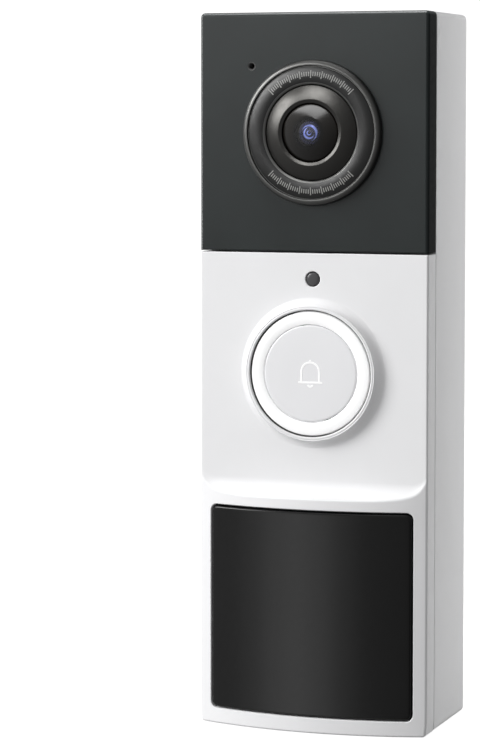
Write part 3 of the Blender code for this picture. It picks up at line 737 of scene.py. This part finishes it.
def camera_panel():
    """Dark cover over the top third."""
    shell = Shell(HALF, PANEL_LOW, TOP, (0.0, CORNER), (0.75, 0.3, 0.95))
    rows = rows_between(PANEL_LOW, TOP, edge_steps(0.3), edge_steps(0.95), 8)
    panel = shell.build(
        "dark_camera_panel", 10, lambda x: rows, lambda x, z: FRONT, lambda x, z: SEAM
    )
    inner = HALF - WALL
    tall = (PANEL_LOW + WALL, TOP - WALL)
    carve(panel, block("hollow", (-inner, inner), (FRONT + WALL, SEAM + 1.0), tall))
    lens_hole = [(0.0, 1.0), (14.0, 1.0), (14.0, -4.0), (0.0, -4.0)]
    carve(panel, turned("lens_hole", lens_hole, LENS, sides=96))
    mic = [(0.0, 0.6), (0.93, 0.6), (0.93, -0.42), (0.58, -0.42), (0.58, -4.0), (0.0, -4.0)]
    carve(panel, turned("mic_hole", mic, (MIC[0], FRONT, MIC[1]), sides=48))
    for side, x in (("left", -POST_X), ("right", POST_X)):
        add_post(panel, f"top_{side}", x, POST_LEVELS["top"], FRONT + 1.2)
    for name, (x, z) in CAMERA_SCREWS.items():
        add_post(panel, f"camera_{name}", x, z, FRONT + 1.2, -20.4, 1.9, 0.95, 5.0)
    carved_piece(panel, "housing", "panel", "camera_panel")


def mic_rim():
    """Countersunk lip of the microphone hole."""
    lip = [(0.58, -0.3), (0.8, -0.03), (0.86, 0.0), (0.9, -0.03), (0.9, -0.4), (0.58, -0.4)]
    made = turned("microphone_hole_lip", lip, (MIC[0], FRONT, MIC[1]), sides=48)
    piece(made, "housing", LOOKS["lip"], angle=40.0)


def motion_window():
    """Curved dark window with a rounded rim."""
    half, tall = WINDOW[0] / 2, WINDOW[1] / 2
    low, high = SENSOR_Z - tall, SENSOR_Z + tall
    rim = 0.45
    shell = Shell(half, low, high, (WINDOW_CORNER, WINDOW_CORNER), (rim, rim, rim))
    near = edge_steps(rim) + [0.7, 0.9, WINDOW_CORNER]
    rows = rows_between(low, high, near, near, 12)
    proud = 0.1

    def front(x, z):
        return BULGE_AXIS - proud - math.sqrt(BULGE_RADIUS**2 - x**2)

    def back(x, z):
        return BULGE_AXIS - proud - math.sqrt((BULGE_RADIUS - 1.6) ** 2 - x**2)

    window = shell.build("motion_sensor_window", 48, lambda x: rows, front, back)
    piece(window, "housing", LOOKS["window"], ["pir_window"], 40.0)


# Camera ----------------------------------------------------------------------------------------


def cap_arc(apex, radius, out_to, steps):
    """Profile points of a spherical cap from its apex outwards."""
    centre = apex - radius
    points = []
    for step in range(steps + 1):
        r = out_to * step / steps
        points.append((r, centre + math.sqrt(radius**2 - r**2)))
    return points


def ring_height(radius):
    """Height of the bezel's flat band, which falls a little outwards."""
    return 1.62 - 0.105 * (radius - 10.48)


def lens_rings():
    """Bezel with a rounded shoulder and a fine groove, and the cone that rises to the dome."""
    profile = [(10.05, 1.2), (10.4, 1.57), (10.48, ring_height(10.48)), (13.55, ring_height(13.55))]
    profile += [(13.62, 1.26), (13.68, 1.16), (13.8, 1.16)]
    profile += [(13.88, 1.50), (13.95, 1.6)] + arc((14.1, 0.65), 0.97, 92, 8, 10)
    profile += [(15.1, 0.45), (15.1, 0.1), (13.7, 0.1), (13.7, -2.5), (10.05, -2.5)]
    bezel = turned("lens_bezel_ring", profile, LENS)
    piece(bezel, "housing", LOOKS["bezel"], ["lens_bezel"], 40.0)
    cone = [(6.2, 1.7), (6.2, 1.93), (6.75, 2.13), (6.85, 2.17), (6.98, 2.14), (9.72, 1.24)]
    cone += [(9.85, 1.1), (9.85, -1.5), (6.2, -1.5)]
    made = turned("lens_cone_ring", cone, LENS)
    piece(made, "housing", LOOKS["grey_metal"], ["lens_cone"], 40.0)


BAR_FACES = ((0, 1, 2, 3), (4, 5, 6, 7), (0, 1, 5, 4), (1, 2, 6, 5), (2, 3, 7, 6), (3, 0, 4, 7))


def ring_ticks():
    """Generic fine graduation marks in two arcs on the bezel's flat."""
    points, faces = [], []
    marks = 41
    for middle in (90.0, 270.0):
        for index in range(marks):
            angle = math.radians(middle - 46.0 + 92.0 * index / (marks - 1))
            inner, outer = (11.3, 12.9) if index % 5 == 0 else (11.7, 12.6)
            out = Vector((math.cos(angle), 0.0, math.sin(angle)))
            along = Vector((-math.sin(angle), 0.0, math.cos(angle)))
            start = len(points)
            for lift in (-0.02, 0.03):
                for radius, side in ((inner, -0.1), (outer, -0.1), (outer, 0.1), (inner, 0.1)):
                    height = Vector((0.0, -ring_height(radius) - lift, 0.0))
                    points.append(Vector(LENS) + out * radius + along * side + height)
            faces += [tuple(start + corner for corner in quad) for quad in BAR_FACES]
    piece(mesh_from("lens_ring_ticks", points, faces), "housing", LOOKS["tick_paint"])


def lens_glass():
    """Dome, lens barrel with stepped baffles, and the coated front element."""
    dome = cap_arc(4.0, 8.95, 5.95, 24) + [(6.08, 1.5), (6.1, 1.3), (6.1, 0.6), (5.0, 0.6)]
    dome += cap_arc(3.0, 7.95, 5.0, 20)[::-1]
    made = turned("lens_dome_glass", dome, LENS)
    piece(made, "housing", LOOKS["dome"], ["lens_dome"], 50.0)
    made.visible_shadow = False
    barrel = [(3.3, 1.0), (3.5, 1.1), (4.4, 1.1), (4.6, 0.9), (4.6, -7.0), (2.0, -7.0)]
    barrel += [(2.0, -0.2), (3.3, -0.2)]
    made = turned("lens_barrel_tube", barrel, LENS, sides=96)
    piece(made, "housing", LOOKS["lens_barrel"], ["lens_barrel"], 40.0)
    element = cap_arc(2.2, 3.6, 2.9, 16) + [(3.0, 0.55), (3.0, 0.4), (0.0, 0.4)]
    made = turned("lens_front_element", element, LENS, sides=96)
    piece(made, "housing", LOOKS["element"], ["lens_element"], 50.0)


# Button ----------------------------------------------------------------------------------------


def push_button():
    """Cap with a faint dish, and the glossy ring round it, whose finish carries a painted glow."""
    dish = [(0.0, 1.42), (5.0, 1.44), (9.7, 1.5), (9.92, 1.49), (10.05, 1.42), (10.1, 1.28)]
    dish += [(10.1, -0.4), (0.0, -0.4)]
    cap = turned("button_cap_disc", dish, BUTTON)
    piece(cap, "button", LOOKS["cap_plastic"], ["button_cap"], 40.0)
    ring = [(10.25, 1.35), (10.3, 1.48), (10.45, 1.55), (11.6, 1.6), (12.6, 1.57), (12.82, 1.5)]
    ring += [(12.95, 1.3), (12.95, -2.3), (14.4, -2.3), (14.4, -3.2), (10.25, -3.2)]
    made = turned("button_light_ring", ring, BUTTON)
    piece(made, "button", LOOKS["light_guide"], ["light_ring"], 40.0)


def gap_shade_liner():
    """Dark rubber ring that lines the button's opening: a dark sheet that paints the shade in the gap.
    """
    lip = [(13.06, 1.36), (13.1, 1.44), (13.2, 1.5), (13.24, 1.5), (13.24, -1.6), (13.06, -1.6)]
    made = turned("button_gap_shade_liner", lip, BUTTON)
    piece(made, "housing", LOOKS["rubber"], angle=40.0)


def stroke(points, faces, path, width, low, high):
    """Adds a thin flat line along a path on the button's face."""
    start = len(points)
    last = len(path) - 1
    for index, here in enumerate(path):
        before, after = path[max(index - 1, 0)], path[min(index + 1, last)]
        along = Vector((after[0] - before[0], after[1] - before[1])).normalized()
        across = Vector((-along.y, along.x)) * width / 2
        for side in (-1, 1):
            for level in (low, high):
                points.append((here[0] + side * across.x, FRONT - level, here[1] + side * across.y))
    for a in range(start, start + last * 4, 4):
        b = a + 4
        faces += [(a, b, b + 1, a + 1), (a + 2, a + 3, b + 3, b + 2)]
        faces += [(a + 1, b + 1, b + 3, a + 3), (a, a + 2, b + 2, b)]
    end = start + last * 4
    faces += [(start, start + 1, start + 3, start + 2), (end, end + 2, end + 3, end + 1)]


def bell_sign():
    """Generic bell outline on the cap; its finish carries a painted glow."""
    points, faces = [], []
    low, high, width = 1.40, 1.47, 0.36
    body = [(-1.95, -1.7), (-1.95, 0.4)] + arc((0.0, 0.4), 1.95, 180, 0, 20)[1:] + [(1.95, -1.7)]
    stroke(points, faces, body, width, low, high)
    stroke(points, faces, [(-2.65, -1.85), (2.65, -1.85)], width, low, high)
    stroke(points, faces, [(0.0, 2.4), (0.0, 2.85)], width, low, high)
    stroke(points, faces, arc((0.0, -2.1), 0.62, 205, 335, 8), width * 0.9, low, high)
    made = mesh_from("button_bell_sign", points, faces)
    piece(made, "button", LOOKS["sign_paint"])


def status_dot():
    """Dark status window above the button."""
    profile = [(0.0, 0.0), (0.7, -0.01), (1.1, -0.06), (1.32, -0.16), (1.4, -0.3), (1.4, -2.3)]
    profile += [(2.1, -2.3), (2.1, -3.1), (0.0, -3.1)]
    made = turned("status_light_window", profile, STATUS, sides=64)
    piece(made, "housing", LOOKS["status"], ["status_window"], 40.0)


# Rear housing ----------------------------------------------------------------------------------


def tub():
    """Rear housing's outer form: square to the seam, with a soft back edge."""
    back_round, seam_round = 1.7, 0.15
    loops = []
    steps = 10
    for step in range(4):
        angle = math.pi / 2 * step / 3
        inset = seam_round * (1 - math.sin(angle))
        y = SEAM + GAP + seam_round * (1 - math.cos(angle))
        loops.append((inset, y))
    for step in range(steps + 1):
        angle = math.pi / 2 * step / steps
        y = HOUSING_BACK - back_round * (1 - math.sin(angle))
        loops.append((back_round * (1 - math.cos(angle)), y))
    made = []
    for inset, y in loops:
        radius = max(CORNER + 0.2 - inset * 0.6, 0.1)
        outline = rounded((0.0, 0.0), 2 * (HALF - inset), 2 * (TOP - inset), radius, 8)
        made.append([(x, y, z) for x, z in outline])
    return loft("white_rear_housing", made)


def inner_forms(made):
    """The tub's hollow, the latch's chamber and the posts for the main board."""
    inner, floor = HALF - WALL, -5.6
    tall = (-TOP + WALL, TOP - WALL)
    carve(made, block("tub_hollow", (-inner, inner), (SEAM - 2.0, floor), tall))
    for side, x in (("left", (-inner, -6.4)), ("right", (6.4, inner))):
        carve(made, block(f"port_hollow_{side}", x, (floor - 1.0, -2.6), (-TOP + WALL, -59.2)))
    pocket = eased_block("bracket_pocket", (-21.5, 21.5), (-3.9, 2.0), (-57.5, 71.5), 1.0, 0.3)
    carve(made, pocket)
    carve(made, block("latch_housing", (-6.2, 6.2), (-11.2, -5.0), (-74.0, -61.8)), "UNION")
    for name, (x, z) in BOARD_SCREWS.items():
        carve(made, cylinder(f"board_post_{name}", (x, -15.2, z), 2.2, 10.0), "UNION")
        carve(made, cylinder(f"board_bore_{name}", (x, -17.0, z), 1.0, 9.3, sides=24))
    carve(made, block("latch_chamber", (-5.0, 5.0), (-10.0, 2.0), (-TOP + WALL, -63.0)))
    carve(made, block("latch_way", (-5.0, 5.0), (-3.9, 2.0), (-64.0, -56.5)))
    carve(made, block("latch_recess", (-3.0, 3.0), (-8.8, -6.3), (-74.3, -72.0)))


def fixing_holes(made):
    """The release hole below, the hook slots and the ways for the long screws."""
    pin = [(0.0, -76.0), (1.9, -76.0), (1.1, -75.0), (0.9, -74.8), (0.9, -73.0), (0.0, -73.0)]
    carve(made, turned("release_hole", pin, (0.0, -7.5, 0.0), "up", 40))
    for side, x in (("left", -HOOK_X), ("right", HOOK_X)):
        carve(made, block(f"hook_slot_{side}", (x - 4.6, x + 4.6), (-8.0, 2.0), (62.5, 67.6)))
    for level, z in POST_LEVELS.items():
        for side, x in (("left", -POST_X), ("right", POST_X)):
            carve(made, cylinder(f"screw_way_{level}_{side}", (x, -7.0, z), 1.5, 4.0))
            carve(made, cylinder(f"screw_seat_{level}_{side}", (x, -4.3, z), 2.3, 2.0))


def sound_slots(made):
    """Nine slots under the speaker, with flared mouths."""
    for index in range(9):
        centre = ((index - 4) * 2.6, -17.2)
        slot = rounded(centre, 1.2, 6.0, 0.59)
        wide = rounded(centre, 2.0, 6.8, 0.99)
        levels = ((wide, -75.4), (slot, -74.75), (slot, -72.0))
        loops = [[(x, y, z) for x, y in outline] for outline, z in levels]
        carve(made, loft(f"sound_slot_{index}", loops))


def back_openings(made):
    """The charging port's recess and opening, and the set-up button's hole."""
    recessed = eased_block("port_recess", (-19.6, -6.4), (-2.1, 2.0), (-71.2, -61.2), 0.4, 0.2)
    carve(made, recessed)
    carve(made, prism("port_opening", rounded(PORT, 9.8, 4.0, 1.9), "XZ", -4.0, 1.0))
    key = [(0.0, 1.0), (4.0, 1.0), (3.1, -0.5), (2.85, -0.62), (2.8, -0.8), (2.8, -6.0)]
    key += [(0.0, -6.0)]
    carve(made, turned("sync_hole", key, SYNC, "back", 64))


def rear_housing():
    """Tub behind the seam, with the bracket's pocket, slots and ports."""
    made = tub()
    inner_forms(made)
    fixing_holes(made)
    sound_slots(made)
    back_openings(made)
    carved_piece(made, "housing", "white_plastic", "rear_housing")


# Small pieces ----------------------------------------------------------------------------------


def recess(plate, name, centre, width, height, corner, depth):
    """A shallow recess with round corners in the wall side of the bracket."""
    carve(plate, prism(name, rounded(centre, width, height, corner, 8), "XZ", -depth, 1.0))


def bracket_plate():
    """Wall plate with moulded recesses, two hooks, countersunk slots and the root of the latch."""
    plate = eased_block("wall_bracket_plate", (-20.5, 20.5), (-2.6, 0.0), (-56.8, 66.0), 1.2, 0.35)
    for side, x in (("left", -HOOK_X), ("right", HOOK_X)):
        hook = [(-1.5, 62.0), (-1.5, 65.2), (-2.4, 67.3), (-6.5, 67.3), (-6.5, 70.5)]
        hook += [(-7.3, 70.5), (-7.3, 65.4), (-2.4, 65.4), (-2.4, 62.0)]
        carve(plate, prism(f"hook_{side}", hook, "YZ", x - 4.0, x + 4.0), "UNION")
    carve(plate, block("latch_tab", (-4.2, 4.2), (-2.4, 0.0), (-72.8, -55.0)), "UNION")
    carve(plate, block("latch_slot", (-3.3, 3.3), (-4.0, 1.0), (-71.9, -69.5)))
    for name, (z, wide, tall) in BRACKET_SLOTS.items():
        slot = rounded((0.0, z), wide, tall, 2.19, 8)
        sink = rounded((0.0, z), wide + 4.0, tall + 4.0, 4.1, 8)
        carve(plate, prism(f"screw_slot_{name}", slot, "XZ", -4.0, 1.0))
        carve(plate, prism(f"screw_sink_{name}", sink, "XZ", -4.0, -1.5))
        recess(plate, f"slot_field_{name}", (0.0, z), wide + 7.0, tall + 7.0, 5.0, 0.4)
    for side, x in (("left", -11.5), ("right", 11.5)):
        for level, z in (("upper", 25.0), ("lower", -18.0)):
            opening = rounded((x, z), 8.0, 30.0, 3.0, 8)
            carve(plate, prism(f"opening_{side}_{level}", opening, "XZ", -4.0, 1.0))
            recess(plate, f"opening_field_{side}_{level}", (x, z), 11.0, 33.0, 4.5, 0.5)
        for level, z in (("top", 58.0), ("middle", 3.5), ("bottom", -48.0)):
            recess(plate, f"ejector_mark_{side}_{level}", (x * 1.38, z), 3.2, 3.2, 1.59, 0.2)
    recess(plate, "centre_field", (0.0, 3.5), 7.0, 62.0, 2.0, 0.5)
    ease_edges(plate, 0.15)
    carved_piece(plate, "bracket", "bracket_plastic", "wall_bracket")


def latch_spring():
    """Bent spring strip with a hooked tooth."""
    strip = [(-0.8, -70.1)] + arc((-7.9, -70.6), 0.5, 90, 180, 5)
    strip += [(-8.4, -72.6), (-8.2, -73.1), (-7.7, -73.8), (-7.45, -73.9), (-6.75, -73.9)]
    strip += [(-6.6, -73.75), (-6.6, -71.5), (-6.4, -71.3), (-0.8, -71.3)]
    made = prism("release_latch_spring", strip, "YZ", -2.6, 2.6)
    ease_edges(made, 0.12)
    carved_piece(made, "latch", "steel", "release_latch")


def port_flap():
    """Rubber cover with a plug, a folding groove, a rim and a finger groove."""
    flap = eased_block("port_cover_flap", (-19.3, -6.7), (-1.8, -0.7), (-70.9, -61.5), 0.9, 0.25)
    plug = prism("port_plug", rounded(PORT, 8.6, 2.8, 1.35, 8), "XZ", -2.7, -1.3)
    carve(flap, plug, "UNION")
    carve(flap, prism("face_field", rounded((-13.0, -66.4), 10.6, 6.0, 0.8, 8), "XZ", -0.85, 1.0))
    groove = rounded((-13.0, -69.95), 6.0, 0.8, 0.35, 6)
    carve(flap, prism("finger_groove", groove, "XZ", -1.1, 1.0))
    carve(flap, block("folding_groove", (-20.0, -6.0), (-1.0, 1.0), (-62.75, -62.35)))
    ease_edges(flap, 0.08)
    carved_piece(flap, "port_flap", "rubber", "port_cover")


def set_up_key():
    """Dished set-up button."""
    profile = [(0.0, -1.12), (1.2, -1.08), (1.9, -0.98), (2.15, -0.9), (2.35, -0.94), (2.47, -1.08)]
    profile += [(2.5, -1.3), (2.5, -2.9), (3.2, -2.9), (3.2, -3.6), (0.0, -3.6)]
    made = turned("set_up_key_cap", profile, SYNC, "back", 64)
    piece(made, "sync_key", LOOKS["rubber"], ["sync_button"], 40.0)


def foam_pad():
    """Soft pad on the battery, slightly crowned."""
    half, low, high = 13.0, -56.0, -20.0
    shell = Shell(half, low, high, (1.5, 1.5), (0.4, 0.4, 0.4))
    near = edge_steps(0.4) + [0.9, 1.5]
    rows = rows_between(low, high, near, near, 10)

    def front(x, z):
        along = (z - (low + high) / 2) / (high - low)
        swell = math.cos(math.pi / 2 * x / half) * math.cos(math.pi * along)
        return -22.55 - 0.25 * max(0.0, swell) ** 0.5

    made = shell.build("battery_foam_pad", 14, lambda x: rows, front, lambda x, z: -21.9)
    piece(made, "housing", LOOKS["foam"], ["battery_foam"], 60.0)


# Stage, light and camera -----------------------------------------------------------------------


def camera_sees(tree):
    """1 for what the camera sees directly, 0 for light that falls on the object."""
    return add_node(tree, "LightPath").outputs["Is Camera Ray"]


def floor():
    """Plain floor that looks near white, throws little light up and hides no lamp below it."""
    size, level = 9000.0, -75.2
    outline = [(-size, -size), (size, -size), (size, size), (-size, size)]
    made = prism("floor", outline, "XY", level - 5.0, level)
    look = finish("floor_paint", (0.32, 0.32, 0.32), 0.6, 400.0, 0.02, mottle=0.004)
    tree = look.node_tree
    glow = ranged(tree, camera_sees(tree), 0.0, 0.95)
    refine(look, Specular_IOR_Level=0.0, Emission_Color=WHITE, Emission_Strength=glow)
    made.data.materials.append(look)
    made.visible_shadow = False
    made.visible_glossy = False


def softbox(name, place, aim, width, height, radiance):
    """A rectangular lamp in millimetres, aimed at a point, whose power follows from its radiance."""
    lamp = bpy.data.lights.new(name, "AREA")
    lamp.shape = "RECTANGLE"
    lamp.size = width * MM
    lamp.size_y = height * MM
    lamp.energy = radiance * math.pi * lamp.size * lamp.size_y
    made = bpy.data.objects.new(name, lamp)
    bpy.context.scene.collection.objects.link(made)
    made.location = Vector(place) * MM
    direction = (Vector(aim) - Vector(place)).normalized()
    made.rotation_euler = direction.to_track_quat("-Z", "Y").to_euler()
    made.visible_camera = False
    return made


def link_light(lamp, names, state):
    """Limits a lamp to the named pieces (INCLUDE), or keeps its light off them (EXCLUDE)."""
    receivers = bpy.data.collections.new(lamp.name + "_receivers")
    for name in names:
        receivers.objects.link(bpy.data.objects[name])
    for entry in receivers.collection_objects:
        entry.light_linking.link_state = state
    lamp.light_linking.receiver_collection = receivers


def card(name, place, aim, width, height, radiance, *names):
    """A softbox for the named pieces only, which shapes their reflections and leaves the rest."""
    link_light(softbox(name, place, aim, width, height, radiance), names, "INCLUDE")


def light_the_stage():
    """Key light from the left, and one overhead."""
    key = softbox("key", (-665.0, -483.0, 366.0), (0.0, 0.0, 0.0), 400.0, 400.0, 14.4)
    link_light(key, ["lens_dome_glass"], "EXCLUDE")
    softbox("overhead", (-60.0, -230.0, 640.0), (0.0, -30.0, 0.0), 520.0, 300.0, 1.4)


def light_the_housing():
    """Cards for the panel's face and edges, the right side, and the band in the sensor's window."""
    panel, lens = "dark_camera_panel", (0.0, -30.0, 50.0)
    card("upper_card", (-112.0, -330.0, 125.0), (0.0, -30.0, 60.0), 150.0, 140.0, 2.9, panel)
    card("panel_top_card", (-20.0, -60.0, 330.0), (0.0, -30.0, 70.0), 240.0, 160.0, 16.0, panel)
    card("panel_side_card", (-300.0, -80.0, 50.0), lens, 110.0, 260.0, 14.0, panel)
    whites = ("white_front_cover", "white_rear_housing")
    card("side_card", (45.0, 32.0, 0.0), (25.0, -5.0, 0.0), 24.0, 320.0, 1.9, *whites)
    distance, middle, apart = 300.0, -22.0, 9.0
    for step in range(-2, 3):
        turn = math.radians(middle + apart * step)
        place = (distance * math.sin(turn), -30.0 - distance * math.cos(turn), -140.0)
        bright = 1.7 * math.cos(math.pi / 6 * step) ** 2
        name = f"strip_{step + 2}"
        card(name, place, (0.0, -30.0, -60.0), 48.0, 300.0, bright, "motion_sensor_window")


def light_the_lens():
    """Cards for the bezel, the cone and the dome."""
    card("bezel_card", (-227.0, -393.0, 189.0), LENS, 260.0, 180.0, 8.0, "lens_bezel_ring")
    card("cone_card", (-60.0, -237.0, 271.0), LENS, 150.0, 150.0, 12.0, "lens_cone_ring")
    card("dome_card", (-70.0, -110.0, 330.0), LENS, 460.0, 240.0, 6.5, "lens_dome_glass")


def pale_room():
    """A room that is brightest towards the upper left front. The camera sees it white."""
    world = bpy.data.worlds.new("pale_room")
    bpy.context.scene.world = world
    world.use_nodes = True
    tree = world.node_tree
    where = add_node(tree, "TexCoord").outputs["Generated"]
    brightest = Vector((-0.75, -0.5, 0.4)).normalized()
    toward = vector_math(tree, "DOT_PRODUCT", where, brightest, output="Value")
    room = ranged(tree, toward, 0.02, 0.72, -1.0)
    inputs = {"Factor": camera_sees(tree), "A": room, "B": 1.1}
    background = tree.nodes["Background"]
    feed(tree, background.inputs["Strength"], add_node(tree, "Mix", inputs).outputs["Result"])
    feed(tree, background.inputs["Color"], WHITE)


def place_camera():
    """Long lens from the front right, a little above the middle."""
    turn, lift = math.radians(CAMERA_TURN), math.radians(CAMERA_LIFT)
    level = math.cos(lift)
    back = Vector((math.sin(turn) * level, -math.cos(turn) * level, math.sin(lift)))
    right = Vector((math.cos(turn), math.sin(turn), 0.0))
    up = back.cross(right)
    camera = bpy.data.objects.new("camera", bpy.data.cameras.new("camera"))
    bpy.context.scene.collection.objects.link(camera)
    camera.data.sensor_width = 36.0
    camera.data.lens = CAMERA_LENS
    camera.data.shift_y = CAMERA_SHIFT_UP
    camera.data.clip_start = 0.01
    camera.data.clip_end = 50.0
    axes = Matrix((right, up, back)).transposed().to_4x4()
    camera.matrix_world = Matrix.Translation(Vector(CAMERA_PLACE) * MM) @ axes
    bpy.context.scene.camera = camera


def build():
    """Every piece, in order."""
    dress_cad_nodes()
    front_cover()
    camera_panel()
    mic_rim()
    motion_window()
    lens_rings()
    ring_ticks()
    lens_glass()
    push_button()
    gap_shade_liner()
    bell_sign()
    status_dot()
    rear_housing()
    bracket_plate()
    latch_spring()
    port_flap()
    set_up_key()
    foam_pad()
    floor()
    light_the_stage()
    light_the_housing()
    light_the_lens()
    pale_room()
    place_camera()
    bpy.context.scene.view_settings.view_transform = "Standard"


build()
